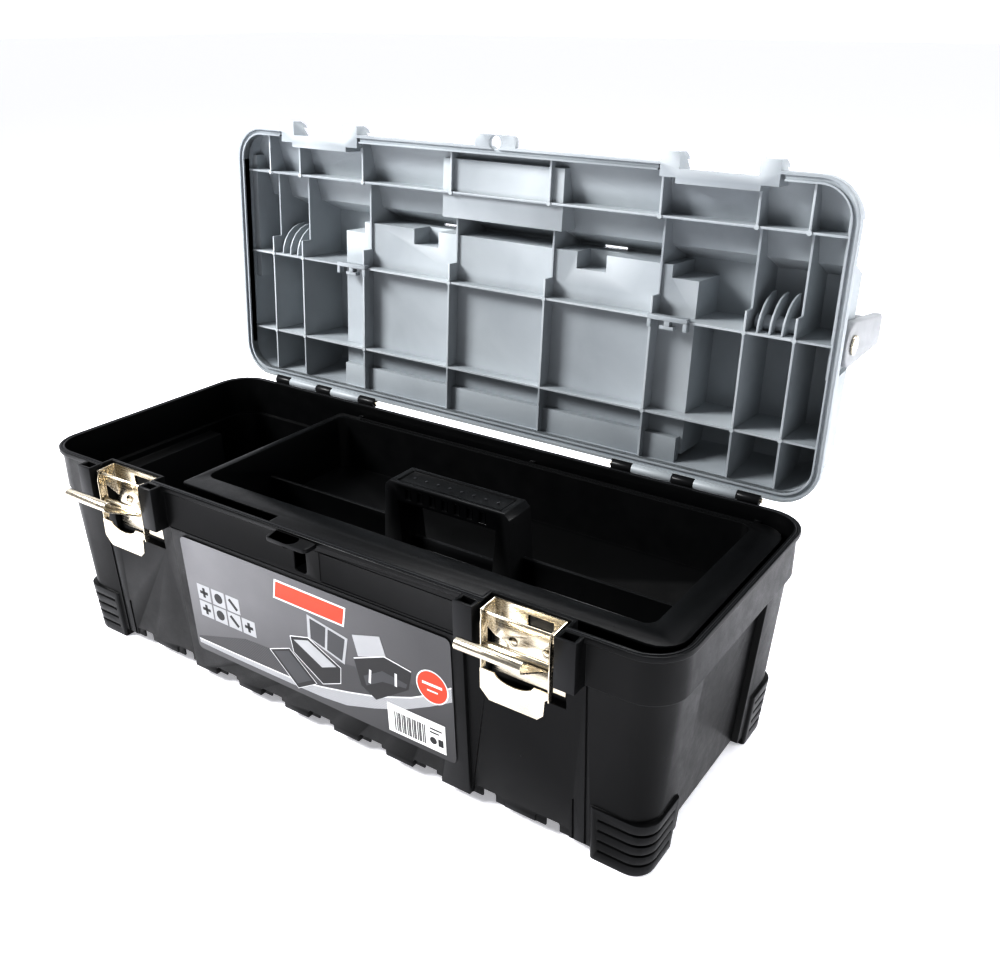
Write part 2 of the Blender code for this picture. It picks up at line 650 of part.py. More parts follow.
def draw_lid_recesses(mesh):
    """Cuts from outside: the ledge, the organiser wells, the arm pockets and the latch seats."""
    high = LID_HEIGHT + PAST
    profile = ledge_profile(0)
    loft(mesh, [at_x(profile, -LID_X - PAST), at_x(profile, LID_X + PAST)])
    half = PLATFORM_LENGTH / 2
    floor = PLATFORM_DROP + LID_WALL
    cover_seat = LID_HEIGHT - COVER_THICKNESS - GAP
    for side in (-1, 1):
        x = both_sides((LID_WALL, half - WELL_END), side)
        front = PLATFORM_FRONT - LID_WALL - WELL_FRONT
        for cell_x in cells(x[0], x[1], 2):
            block(mesh, cell_x, (PLATFORM_BACK + WELL_BACK, front), (floor, high))
        seat = both_sides((LID_WALL / 2, half - COVER_END), side)
        block(mesh, seat, (PLATFORM_BACK + COVER_BACK, front + WELL_FRONT - COVER_FRONT), (cover_seat, high))
        tab = (front, PLATFORM_FRONT + 0.002)
        block(mesh, both_sides(around(CATCH_X, COVER_CATCH), side), tab, (cover_seat - 0.004, high))
        pocket = both_sides((arm_inner() - GAP, LID_X + PAST), side)
        block(mesh, pocket, arm_pocket(0), (arm_pocket_low(), high))
        latch = both_sides(around(LATCH_X, POCKET_WIDTH), side)
        block(mesh, latch, (LID_DEPTH - LATCH_SEAT[0], LID_DEPTH + EAR_REACH), (-PAST, high))
        block(mesh, latch, (LID_DEPTH - LATCH_SEAT[1], LID_DEPTH + PAST), (LATCH_LEDGE, high))
        pivot = both_sides((arm_inner() - 4 * LID_WALL, LID_X + PAST), side)
        rod(mesh, pivot, HANDLE_PIVOT_S, HANDLE_PIVOT_DROP, HANDLE_PIN_RADIUS + GAP)
        for knuckle in KNUCKLE_X:
            x = both_sides(around(knuckle, KNUCKLE_WIDTH + 4 * GAP), side)
            rod(mesh, x, hinge_s(), hinge_d(), KNUCKLE_RADIUS + 2 * GAP)
        clear = both_sides((KNUCKLE_X[0] - KNUCKLE_WIDTH, KNUCKLE_X[-1] + KNUCKLE_WIDTH), side)
        rod(mesh, clear, hinge_s(), hinge_d(), HINGE_PIN_RADIUS + GAP)
    finger = (LEDGE_START + FINGER_FROM_LEDGE, LID_DEPTH - FINGER_FROM_FRONT)
    block(mesh, around(0, FINGER_LENGTH), finger, (LEDGE_LOW - FINGER_DROP, high))
    hole = circle(0, LID_DEPTH + TAB_REACH / 2 - LID_TAB_BACK, PADLOCK_HOLE / 2)
    loft(mesh, [at_z(hole, -PAST), at_z(hole, LEDGE_LOW)])


def cells(low, high, count):
    """Equal cells with a wall between each two."""
    pitch = (high - low + LID_WALL) / count
    return [(low + pitch * i, low + pitch * (i + 1) - LID_WALL) for i in range(count)]


def hinge_s():
    return LID_BACK - HINGE_Y


def hinge_d():
    return HINGE_Z - LID_SEAT


def draw_lid_additions(mesh):
    """Hinge knuckles between the tub's, the prongs beside the latches and the padlock tab."""
    for side in (-1, 1):
        for low, high in zip(KNUCKLE_X, KNUCKLE_X[1:]):
            x = both_sides((low + KNUCKLE_WIDTH / 2 + 2 * GAP, high - KNUCKLE_WIDTH / 2 - 2 * GAP), side)
            rod(mesh, x, hinge_s(), hinge_d(), KNUCKLE_RADIUS)
        for ear in EAR_X:
            x = both_sides(around(ear, EAR_WIDTH), side)
            front = LID_BACK + BAND_Y + EAR_REACH
            profile = [(LID_DEPTH - 0.012, 0), (front, 0), (front, 0.011), (front - 0.003, 0.017),
                       (LID_DEPTH - 0.005, 0.026), (LID_DEPTH - 0.012, 0.026)]
            loft(mesh, [at_x(profile, x[0]), at_x(profile, x[1])])
    tab = rounded(*around(0, TAB_LENGTH), LID_DEPTH - PAST, LID_DEPTH + TAB_REACH - LID_TAB_BACK, TAB_RADIUS, 3)
    loft(mesh, [at_z(tab, 0), at_z(tab, TAB_THICKNESS)])


def make_lid(plastic, clear_plastic, body):
    lid = place("lid_shell", draw_lid_outside, body, plastic, lid_space=True)
    inside = place("lid_inside", draw_lid_inside, body, lid_space=True)
    kept = place("lid_kept", draw_lid_kept, body, lid_space=True)
    carve(kept, "DIFFERENCE", place("catch_notches", draw_catch_notches, body, lid_space=True))
    carve(inside, "DIFFERENCE", kept)
    carve(lid, "DIFFERENCE", inside)
    carve(lid, "UNION", place("lid_additions", draw_lid_additions, body, lid_space=True))
    carve(lid, "DIFFERENCE", place("lid_recesses", draw_lid_recesses, body, lid_space=True))
    make_covers(clear_plastic, body)


def make_covers(clear_plastic, body):
    """Two clear covers over the organiser wells, each with a finger catch at its front."""
    half = PLATFORM_LENGTH / 2
    back = PLATFORM_BACK + COVER_BACK + 2 * GAP
    front = PLATFORM_FRONT - LID_WALL - COVER_FRONT - 2 * GAP
    for side, name in ((-1, "left"), (1, "right")):
        def draw(mesh, side=side):
            x = both_sides((LID_WALL / 2 + GAP, half - COVER_END - GAP), side)
            block(mesh, x, (back, front), (LID_HEIGHT - COVER_THICKNESS, LID_HEIGHT))

        def draw_catch(mesh, side=side):
            x = both_sides(around(CATCH_X, COVER_CATCH - 4 * GAP), side)
            low = LID_HEIGHT - COVER_THICKNESS - 0.003
            block(mesh, x, (front - PAST, PLATFORM_FRONT), (low, LID_HEIGHT - GAP))

        cover = place("organiser_cover_" + name, draw, body, clear_plastic, lid_space=True)
        carve(cover, "UNION", place("cover_catch_" + name, draw_catch, body, lid_space=True))


def make_handle(plastic, steel, lid_body):
    """A bail of two arms and a grip, on a pin through each end wall of the lid."""
    pivot_y = LID_BACK - HANDLE_PIVOT_S - HINGE_Y
    pivot_z = HANDLE_PIVOT_DROP + LID_SEAT - HINGE_Z
    body = axis("handle_axis", lid_body, (0, pivot_y, pivot_z))
    inner = arm_inner()
    for side, name in ((-1, "left"), (1, "right")):
        def draw(mesh, side=side):
            x = both_sides((inner + GAP, inner + ARM_THICKNESS), side)
            root, tip = ARM_ROOT / 2, ARM_TIP / 2
            outline = [(root * math.cos(a), root * math.sin(a)) for a in
                       [math.radians(180 + 180 * step / 12) for step in range(13)]]
            outline += [(tip, HANDLE_REACH - HANDLE_CORNER), (tip - HANDLE_CORNER, HANDLE_REACH),
                        (-tip + HANDLE_CORNER, HANDLE_REACH), (-tip, HANDLE_REACH - HANDLE_CORNER)]
            loft(mesh, [at_x(outline, x[0]), at_x(outline, x[1])])
        arm = place("handle_arm_" + name, draw, body, plastic)
        hole = place("arm_hole_" + name, lambda mesh: rod(
            mesh, (-LID_X, LID_X), 0, 0, HANDLE_PIN_RADIUS + GAP), body)
        carve(arm, "DIFFERENCE", hole)

        def draw_pin(mesh, side=side):
            rod(mesh, both_sides((inner - 3 * LID_WALL, inner + ARM_THICKNESS + 0.001), side), 0, 0,
                HANDLE_PIN_RADIUS)
            rod(mesh, both_sides((inner + ARM_THICKNESS + GAP, inner + ARM_THICKNESS + 0.0022), side), 0, 0,
                2 * HANDLE_PIN_RADIUS)
        pin = place("pin_head_" + name, draw_pin, body)
        whole = place("handle_pin_" + name, lambda mesh, side=side: rod(
            mesh, both_sides((inner - 3 * LID_WALL, inner + ARM_THICKNESS), side), 0, 0,
            HANDLE_PIN_RADIUS), body, steel)
        carve(whole, "UNION", pin)

    def draw_grip(mesh):
        centre = HANDLE_REACH - GRIP_SIZE / 2 - 0.002
        outline = rounded(*around(0, GRIP_SIZE + 0.004), *around(centre, GRIP_SIZE), GRIP_SIZE / 2 - 0.001, 5)
        loft(mesh, [at_x(outline, -inner), at_x(outline, inner)])

    place("handle_grip", draw_grip, body, plastic)


def make_hinge_pins(steel):
    for side, name in ((-1, "left"), (1, "right")):
        x = both_sides((KNUCKLE_X[0] - KNUCKLE_WIDTH / 2 - 0.002, KNUCKLE_X[-1] + KNUCKLE_WIDTH / 2 + 0.002), side)
        place("hinge_pin_" + name, lambda mesh, x=x: rod(mesh, x, HINGE_Y, HINGE_Z, HINGE_PIN_RADIUS),
              finish=steel)


def ribbon(points, thickness):
    """The outline of a bent strip that is as thick as the steel, along its inner line."""
    outer = []
    for here, point in enumerate(points):
        before = points[max(here - 1, 0)]
        after = points[min(here + 1, len(points) - 1)]
        run = (after[0] - before[0], after[1] - before[1])
        length = math.hypot(*run)
        outer.append((point[0] - thickness * run[1] / length, point[1] + thickness * run[0] / length))
    return points + outer[::-1]


def make_latch(side, name, steel):
    centre = side * LATCH_X
    half = LATCH_WIDTH / 2
    plate_y = POCKET_Y - GAP - STEEL
    lever_body = axis("lever_axis_" + name, None, (centre, LEVER_Y, LEVER_Z))
    hook_body = axis("hook_axis_" + name, lever_body, (0, 0, HOOK_Z - LEVER_Z))

    def draw_base(mesh):
        """A plate on the pocket's wall, with an ear at either end for the lever's pin."""
        bottom = POCKET_BOTTOM + 0.006
        top = RIM_TOP - PAST
        block(mesh, around(centre, LATCH_WIDTH + 2 * STEEL + 2 * GAP), (plate_y, plate_y + STEEL), (bottom, top))

    def draw_base_ears(mesh):
        reach = LEVER_Y - PIN_RADIUS - 0.0015
        for end in (-1, 1):
            x = around(centre + end * (half + GAP + STEEL / 2), STEEL)
            outline = [(plate_y + STEEL, LEVER_Z + 0.004), (reach, LEVER_Z + 0.003), (reach, LEVER_Z - 0.004),
                       (plate_y + STEEL, LEVER_Z - 0.030)]
            loft(mesh, [at_x(outline, x[0]), at_x(outline, x[1])])

    def draw_base_holes(mesh):
        y = (plate_y - PAST, plate_y + STEEL + PAST)
        for end in (-1, 1):
            hole = circle(centre + end * RIVET_SPACING / 2, RIM_TOP - RIVET_DROP, RIVET_RADIUS + GAP)
            loft(mesh, [at_y(hole, y[0]), at_y(hole, y[1])])
        slot = rectangle(*around(centre + 0.009, 0.021), RIM_TOP - 0.016, RIM_TOP - 0.007)
        loft(mesh, [at_y(slot, y[0]), at_y(slot, y[1])])
        rod(mesh, around(centre, LATCH_WIDTH + 4 * STEEL), LEVER_Y, LEVER_Z, PIN_RADIUS + GAP, 12)

    base = place("latch_base_" + name, draw_base, finish=steel)
    carve(base, "UNION", place("base_ears_" + name, draw_base_ears))
    carve(base, "DIFFERENCE", place("base_holes_" + name, draw_base_holes))

    for end, which in ((-1, "a"), (1, "b")):
        def draw_rivet(mesh, end=end):
            x, z = centre + end * RIVET_SPACING / 2, RIM_TOP - RIVET_DROP
            loft(mesh, [at_y(circle(x, z, RIVET_RADIUS, 14), POCKET_Y - GAP),
                        at_y(circle(x, z, RIVET_RADIUS, 14), plate_y - 0.0004),
                        at_y(circle(x, z, RIVET_RADIUS * 0.55, 14), plate_y - 0.0012)])
        smooth(place("latch_rivet_" + name + "_" + which, draw_rivet, finish=steel))

    def draw_lever_sides(mesh):
        """Two side strips, which the plate across their lower half joins."""
        for end in (-1, 1):
            x = around(end * (half - STEEL / 2), STEEL)
            outline = [(0.003, 0.0035), (-0.003, 0.0035), (LEVER_FRONT, -0.006), (LEVER_FRONT, -0.052),
                       (LEVER_FRONT + 0.004, -0.052), (0.003, -0.031)]
            loft(mesh, [at_x(outline, x[0]), at_x(outline, x[1])])

    def draw_lever(mesh):
        face = [(-half, LEVER_PLATE_TOP), (-half, -LEVER_LENGTH + 0.008), (-half + 0.008, -LEVER_LENGTH),
                (half - 0.009, -LEVER_LENGTH), (half - 0.004, -LEVER_LENGTH + 0.005),
                (half - 0.003, -LEVER_LENGTH + 0.018), (half, -LEVER_LENGTH + 0.020), (half, LEVER_PLATE_TOP)]
        loft(mesh, [at_y(face, LEVER_FRONT - STEEL / 2), at_y(face, LEVER_FRONT + STEEL / 2)])

    def draw_lever_cuts(mesh):
        rod(mesh, (-half - PAST, half + PAST), 0, 0, PIN_RADIUS + GAP, 12)
        rod(mesh, (-half - PAST, half + PAST), 0, -HOOK_PIVOT_DROP, PIN_RADIUS + GAP, 12)
        scoop = [(x * half * 0.62, LEVER_PLATE_TOP + 0.002 - 0.0085 * math.sqrt(max(0, 1 - x * x)))
                 for x in [-1 + step / 5 for step in range(11)]]
        scoop += [(half * 0.62, -0.036), (-half * 0.62, -0.036)]
        loft(mesh, [at_y(scoop, -0.012), at_y(scoop, 0.004)])

    lever = place("latch_lever_" + name, draw_lever, lever_body, steel)
    carve(lever, "UNION", place("lever_sides_" + name, draw_lever_sides, lever_body))
    carve(lever, "DIFFERENCE", place("lever_cuts_" + name, draw_lever_cuts, lever_body))
    reach = half + STEEL + 2 * GAP + PIN_RADIUS / 2
    for pin_name, end, z in (("lever_pin_", reach, 0), ("hook_pin_", half, -HOOK_PIVOT_DROP)):
        smooth(place(pin_name + name, lambda mesh, end=end, z=z: rod(
            mesh, (-end, end), 0, z, PIN_RADIUS, 12), lever_body, steel))

    def draw_hook(mesh):
        """A plate rolled round its pin at one edge and curled into a bar at the other."""
        width = LATCH_WIDTH - 2 * STEEL - 0.0016
        turn = math.radians(HOOK_REST_ANGLE)
        eye = PIN_RADIUS + GAP
        curl = CURL_RADIUS - STEEL
        far = HOOK_LENGTH - CURL_RADIUS
        roll = [(eye * math.cos(math.radians(a)), eye * math.sin(math.radians(a)))
                for a in range(-30, 300, 30)]
        bar = [(far + curl * math.cos(math.radians(a)), curl - eye + curl * math.sin(math.radians(a)))
               for a in range(-90, 180, 30)]
        strip = ribbon(roll + bar, -STEEL)
        outline = [(-(r * math.cos(turn) - n * math.sin(turn)), r * math.sin(turn) + n * math.cos(turn))
                   for r, n in strip]
        loft(mesh, [at_x(outline, -width / 2), at_x(outline, width / 2)])

    place("latch_hook_" + name, draw_hook, hook_body, steel)


def main():
    for old in list(bpy.data.objects):
        bpy.data.objects.remove(old, do_unlink=True)
    black = material("black_polypropylene", (0.012, 0.013, 0.014), 0.45)
    grey = material("grey_polypropylene", (0.30, 0.32, 0.33), 0.5)
    light = material("light_grey_polypropylene", (0.62, 0.63, 0.64), 0.45)
    clear_plastic = material("clear_polystyrene", (0.75, 0.78, 0.80), 0.15, alpha=0.45)
    nickel = material("nickel_plated_steel", (0.72, 0.68, 0.61), 0.28, metallic=1.0)
    paper = material("printed_label", (0.14, 0.145, 0.15), 0.35)
    axis("stand", None, (0, -middle_of_depth(), 0))
    make_tub(black)
    make_label(paper)
    make_tray(black, axis("tray_body", None, (0, 0, 0)))
    lid_body = axis("lid_axis", None, (0, HINGE_Y, HINGE_Z), -LID_OPEN_ANGLE)
    make_lid(grey, clear_plastic, lid_body)
    make_handle(light, nickel, lid_body)
    make_hinge_pins(nickel)
    for side, name in ((-1, "left"), (1, "right")):
        make_latch(side, name, nickel)


main()
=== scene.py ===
"""A long plastic toolbox, standing open: its black tub and lift-out tray, the grey hinged
lid with the organiser in it, two nickel draw latches and a light grey carrying handle.
Lengths are in metres, X runs along the box, Y towards its hinge and Z up.
"""

import json
import math

import bmesh
import bpy
from mathutils import Matrix, Vector


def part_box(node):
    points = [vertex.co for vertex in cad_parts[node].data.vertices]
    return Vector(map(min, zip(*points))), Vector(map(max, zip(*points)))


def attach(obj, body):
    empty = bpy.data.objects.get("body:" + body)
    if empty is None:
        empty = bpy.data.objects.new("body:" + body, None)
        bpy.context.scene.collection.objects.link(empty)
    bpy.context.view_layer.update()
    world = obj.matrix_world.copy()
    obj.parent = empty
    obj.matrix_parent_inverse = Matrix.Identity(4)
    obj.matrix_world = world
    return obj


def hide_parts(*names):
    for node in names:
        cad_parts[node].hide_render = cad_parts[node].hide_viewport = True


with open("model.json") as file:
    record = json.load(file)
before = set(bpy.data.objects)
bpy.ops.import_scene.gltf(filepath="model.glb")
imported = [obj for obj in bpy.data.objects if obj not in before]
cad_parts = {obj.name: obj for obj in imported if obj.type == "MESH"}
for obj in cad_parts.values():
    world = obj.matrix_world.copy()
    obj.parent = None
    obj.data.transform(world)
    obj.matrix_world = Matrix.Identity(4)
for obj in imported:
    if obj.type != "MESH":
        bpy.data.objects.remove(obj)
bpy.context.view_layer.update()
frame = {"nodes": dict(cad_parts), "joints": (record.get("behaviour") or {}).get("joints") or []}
scene = bpy.context.scene

# ---------------------------------------------------------------- Camera and studio
# A white floor and surround lit by a big softbox high on the left and a strip on the
# right, as for a catalogue. The side towards the camera is left dim.


def linear(code):
    """The linear colour of an sRGB hex code such as 8a8f92."""
    channels = [int(code[i:i + 2], 16) / 255 for i in (0, 2, 4)]
    return tuple(c / 12.92 if c <= 0.04045 else ((c + 0.055) / 1.055) ** 2.4 for c in channels) + (1.0,)


def add_node(tree, kind, inputs=None, **settings):
    """A node with its settings, each input given a value or linked to a socket."""
    node = tree.nodes.new(kind)
    for name, value in settings.items():
        setattr(node, name, value)
    for socket, value in (inputs or {}).items():
        if isinstance(value, bpy.types.NodeSocket):
            tree.links.new(value, node.inputs[socket])
        else:
            node.inputs[socket].default_value = value
    return node


def place(name, data):
    made = bpy.data.objects.new(name, data)
    scene.collection.objects.link(made)
    return made


def aim(thing, target):
    thing.rotation_euler = (Vector(target) - thing.location).to_track_quat("-Z", "Y").to_euler()


camera = place("camera", bpy.data.cameras.new("camera"))
camera.location = (0.54543, -0.69055, 0.57869)
camera.data.lens = 37.54
camera.data.clip_start = 0.02
aim(camera, (0.06178, 0.02254, 0.18545))
scene.camera = camera
scene.view_settings.view_transform = "Standard"
scene.view_settings.exposure = 0.62
scene.view_settings.gamma = 0.66

for name, size_x, size_y, power, spot, target in (
        ("softbox_high_left", 0.8, 0.6, 44.0, (-1.30, -1.05, 1.45), (0.0, 0.05, 0.2)),
        ("softbox_overhead", 1.8, 0.5, 12.0, (0.1, 0.5, 1.7), (0.0, 0.0, 0.1)),
        ("strip_right", 0.4, 1.4, 16.0, (1.7, 0.9, 0.7), (0.3, 0.0, 0.12))):
    lamp = place(name, bpy.data.lights.new(name, "AREA"))
    lamp.data.shape = "RECTANGLE"
    lamp.data.size, lamp.data.size_y = size_x, size_y
    lamp.data.energy = power
    lamp.location = spot
    aim(lamp, target)

scene.world = bpy.data.worlds.new("studio")
scene.world.use_nodes = True
studio = scene.world.node_tree
toward = add_node(studio, "ShaderNodeTexCoord").outputs["Generated"]
facing = add_node(studio, "ShaderNodeVectorMath", {0: toward, 1: (0.55, -0.83, 0.10)},
                  operation="DOT_PRODUCT")
dim = add_node(studio, "ShaderNodeMapRange", {
    "Value": facing.outputs["Value"], "From Min": -0.75, "From Max": -0.25, "To Min": 1.0, "To Max": 0.24})
studio.links.new(dim.outputs["Result"], studio.nodes["Background"].inputs["Strength"])
studio.nodes["Background"].inputs["Color"].default_value = linear("f6f7fb")

floor_half, floor_drop = 20.0, 0.0004
floor_mesh = bpy.data.meshes.new("floor")
floor_corners = ((-1, -1), (1, -1), (1, 1), (-1, 1))
floor_mesh.from_pydata([(x * floor_half, y * floor_half, -floor_drop) for x, y in floor_corners],
                       [], [(0, 1, 2, 3)])
floor = place("floor", floor_mesh)
paper = bpy.data.materials.new("white_backdrop_paper")
paper.use_nodes = True
paper_shader = paper.node_tree.nodes["Principled BSDF"]
paper_shader.inputs["Base Color"].default_value = linear("f8f8fb")
paper_shader.inputs["Roughness"].default_value = 0.9
paper_shader.inputs["Specular IOR Level"].default_value = 0.1
paper_shader.inputs["Emission Color"].default_value = linear("f8f8fb")
paper_shader.inputs["Emission Strength"].default_value = 0.33
floor_mesh.materials.append(paper)

# ---------------------------------------------------------------- Tub
# The deep open tub, one injection moulding of black polypropylene. Its walls draw in
# towards the floor, a wider band with a rolled rim stiffens the top, and it stands on
# four ribbed corner feet.


def moulded_plastic(name, base, deep, pale, roughness, grain, shine=0.5):
    """Injection-moulded polypropylene: satin, with a fine spark-eroded grain and faint flow
    clouds spreading from the gate. Its sharp edges are mixed towards the pale colour: partly
    wear where it has been handled, partly painted highlight lines standing in for the glints
    that light leaves along the edges. The grain is drawn at grain metres, which is coarser
    than the real 0.2 mm so that it shows."""
    made = bpy.data.materials.new(name)
    made.use_nodes = True
    tree = made.node_tree
    shader = tree.nodes["Principled BSDF"]
    where = add_node(tree, "ShaderNodeTexCoord").outputs["Object"]
    clouds = add_node(tree, "ShaderNodeTexNoise", {
        "Vector": where, "Scale": 11.0, "Detail": 5.0, "Distortion": 0.6})
    tone = add_node(tree, "ShaderNodeValToRGB", {"Fac": clouds.outputs["Fac"]})
    for stop, at, code in zip(tone.color_ramp.elements, (0.30, 0.68), (deep, base)):
        stop.position, stop.color = at, linear(code)
    # Paler where the surface turns sharply: painted highlight lines along the edges, partly handling wear.
    edge_wear_and_highlight = add_node(tree, "ShaderNodeMapRange", {
        "Value": add_node(tree, "ShaderNodeNewGeometry").outputs["Pointiness"],
        "From Min": 0.53, "From Max": 0.62, "To Min": 0.0, "To Max": 0.5})
    colour = add_node(tree, "ShaderNodeMix", {
        "Factor": edge_wear_and_highlight.outputs["Result"], "A": tone.outputs["Color"], "B": linear(pale)}, data_type="RGBA")
    tree.links.new(colour.outputs["Result"], shader.inputs["Base Color"])
    rub = add_node(tree, "ShaderNodeTexNoise", {
        "Vector": where, "Scale": 55.0, "Detail": 6.0, "Roughness": 0.7})
    sheen = add_node(tree, "ShaderNodeMapRange", {
        "Value": rub.outputs["Fac"], "From Min": 0.3, "From Max": 0.7,
        "To Min": roughness - 0.05, "To Max": roughness + 0.07})
    tree.links.new(sheen.outputs["Result"], shader.inputs["Roughness"])
    pits = add_node(tree, "ShaderNodeTexNoise", {"Vector": where, "Scale": 1 / grain, "Detail": 3.0})
    bump = add_node(tree, "ShaderNodeBump", {
        "Height": pits.outputs["Fac"], "Strength": 0.35, "Distance": 0.00015})
    tree.links.new(bump.outputs["Normal"], shader.inputs["Normal"])
    shader.inputs["IOR"].default_value = 1.49
    shader.inputs["Specular IOR Level"].default_value = shine
    return made


def loft(mesh, rings):
    """A closed body through rings of equally many points."""
    loops = [[mesh.verts.new(point) for point in ring] for ring in rings]
    for lower, upper in zip(loops, loops[1:]):
        for here in range(len(lower)):
            there = (here + 1) % len(lower)
            mesh.faces.new((lower[here], lower[there], upper[there], upper[here]))
    mesh.faces.new(loops[0][::-1])
    mesh.faces.new(loops[-1])


def box(mesh, x, y, z):
    loft(mesh, [[(x[0], y[0], h), (x[1], y[0], h), (x[1], y[1], h), (x[0], y[1], h)] for h in z])


def turned_corners(points, steps=5):
    """An outline with its corners rounded: each point is (x, y, radius)."""
    outline = []
    for index, (x, y, radius) in enumerate(points):
        here = Vector((x, y))
        if not radius:
            outline.append(tuple(here))
            continue
        before = (Vector(points[index - 1][:2]) - here).normalized()
        after = (Vector(points[(index + 1) % len(points)][:2]) - here).normalized()
        half = before.angle(after) / 2
        centre = here + (before + after).normalized() * radius / math.sin(half)
        start, end = here + before * radius / math.tan(half), here + after * radius / math.tan(half)
        for step in range(steps + 1):
            point = start.lerp(end, step / steps) - centre
            outline.append(tuple(centre + point.normalized() * radius))
    return outline


def shape(name, mesh, matrix=None, round_off=0.0, segments=3, only=None):
    """An object from a bmesh, with the chosen edges rounded, moved by the matrix."""
    bmesh.ops.remove_doubles(mesh, verts=mesh.verts, dist=1e-6)
    bmesh.ops.recalc_face_normals(mesh, faces=mesh.faces)
    if round_off:
        sharp = [edge for edge in mesh.edges if len(edge.link_faces) == 2
                 and edge.calc_face_angle(0) > math.radians(25) and (only is None or only(edge))]
        bmesh.ops.bevel(mesh, geom=sharp, offset=round_off, segments=segments, profile=0.5,
                        affect="EDGES", clamp_overlap=True)
    if matrix is not None:
        mesh.transform(matrix)
        bmesh.ops.recalc_face_normals(mesh, faces=mesh.faces)
    data = bpy.data.meshes.new(name)
    mesh.to_mesh(data)
    mesh.free()
    return place(name, data)


def from_node(node, name):
    """A clean copy of a CAD node's mesh, its triangles merged and flat faces joined."""
    mesh = bmesh.new()
    mesh.from_mesh(frame["nodes"][node].data)
    bmesh.ops.remove_doubles(mesh, verts=mesh.verts, dist=4e-6)
    bmesh.ops.dissolve_limit(mesh, angle_limit=math.radians(0.4), verts=mesh.verts, edges=mesh.edges)
    corners = [tuple(vertex.co) for vertex in mesh.verts]
    faces = [[vertex.index for vertex in face.verts] for face in mesh.faces]
    mesh.free()
    data = bpy.data.meshes.new(name)
    data.from_pydata(corners, [], faces)
    return place(name, data)


def plain(piece):
    """Turns the piece's modifiers into its mesh."""
    bpy.context.view_layer.update()
    data = bpy.data.meshes.new_from_object(piece.evaluated_get(bpy.context.evaluated_depsgraph_get()))
    piece.modifiers.clear()
    piece.data = data
    data.name = piece.name


def carve(piece, operation, *tools):
    """Joins the tools to the piece, or cuts them out of it, and removes them."""
    for tool in tools:
        cut = piece.modifiers.new(tool.name, "BOOLEAN")
        cut.operation, cut.solver, cut.object = operation, "MANIFOLD", tool
    plain(piece)
    for tool in tools:
        bpy.data.objects.remove(tool)


def join(piece, *others):
    """Adds the others' meshes to the piece's own and removes them."""
    mesh = bmesh.new()
    for part in (piece, *others):
        mesh.from_mesh(part.data)
    mesh.to_mesh(piece.data)
    mesh.free()
    for part in others:
        bpy.data.objects.remove(part)


def finish(piece, body, finish_material, stands_for, round_off=0.0, angle=28, segments=2,
           clamped=False):
    """Rounds the edges, shades the piece, gives it its finish and lets it ride."""
    if round_off:
        soften = piece.modifiers.new("rounded_edges", "BEVEL")
        soften.width, soften.segments, soften.limit_method = round_off, segments, "ANGLE"
        soften.angle_limit = math.radians(angle)
        soften.use_clamp_overlap = clamped
        plain(piece)
    piece.data.shade_smooth()
    piece.data.set_sharp_from_angle(angle=math.radians(34))
    piece.data.materials.clear()
    piece.data.materials.append(finish_material)
    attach(piece, body)
    if stands_for:
        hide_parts(*stands_for)


# The third colour is the pale edge tone, a painted highlight along the edges that also stands for some wear.
black_pp = moulded_plastic("black_polypropylene", "0e0f11", "0a0b0c", "5c5d60", 0.32, 0.0006, 0.28)
middle_y = -0.0462


def foot_groove(mesh, side_x, side_y, low):
    """A groove that wraps one foot's corner; the foot leans out 0.27 mm a millimetre up."""
    high = low + 0.0034
    path = [(0.2745, 0.1169, 0, 1)]
    path += [(0.3134 - 0.017 + 0.017 * math.sin(turn), 0.1169 - 0.017 + 0.017 * math.cos(turn),
              math.sin(turn), math.cos(turn)) for turn in [math.radians(10 * step) for step in range(10)]]
    path += [(0.3134, 0.0785, 1, 0)]
    sections = []
    for x, y, out_x, out_y in path:
        section = []
        for outward, z in ((0.006, low), (0.006, high), (-0.0008, high - 0.0006), (-0.0014, low + 0.0010)):
            lean = z * 0.0795
            section.append((side_x * (x + out_x * (outward + lean)),
                            middle_y + side_y * (y + out_y * (outward + lean * 0.55)), z))
        sections.append(section)
    loft(mesh, sections)


mesh = bmesh.new()
for side_x in (-1, 1):
    for side_y in (-1, 1):
        for low in (0.0085, 0.0185, 0.0285, 0.0385):
            foot_groove(mesh, side_x, side_y, low)
grooves = shape("foot_grooves", mesh)
front_y = middle_y - 0.1253
mesh = bmesh.new()
slot_outline = turned_corners([(-0.0075, 0.1625, 0.003), (0.0055, 0.1625, 0.003),
                               (0.0055, 0.1860, 0), (-0.0075, 0.1860, 0)])
loft(mesh, [[(x, y, z) for x, z in slot_outline] for y in (front_y - 0.001, front_y + 0.004)])
box(mesh, (0.0205, 0.1530), (front_y - 0.001, front_y + 0.0005), (0.1605, 0.1870))
seam_half = 0.0003
for side in (-1, 1):
    for x, top in ((0.2625, 0.156), (0.2520, 0.047)):
        left, right = side * x - seam_half, side * x + seam_half
        for y_side in (-1, 1):
            wall = [(middle_y + y_side * (0.1147 + 0.0448 * (z - 0.008)), z) for z in (0.002, top)]
            loft(mesh, [[(left, y - seam_half, z), (right, y - seam_half, z),
                         (right, y + seam_half, z), (left, y + seam_half, z)] for y, z in wall])
front_lines = shape("front_lines", mesh)


def round_rectangle(x0, x1, y0, y1, radius, steps=9):
    return turned_corners([(x0, y0, radius), (x1, y0, radius), (x1, y1, radius), (x0, y1, radius)], steps)


def hoop(mesh, outer, inner, low, high):
    """A closed band between two outlines of equally many points."""
    loops = [[mesh.verts.new((x, y, z)) for x, y in outline]
             for outline, z in ((outer, low), (inner, low), (inner, high), (outer, high))]
    for first, second in zip(loops, loops[1:] + loops[:1]):
        for here in range(len(first)):
            there = (here + 1) % len(first)
            mesh.faces.new((first[here], first[there], second[there], second[here]))


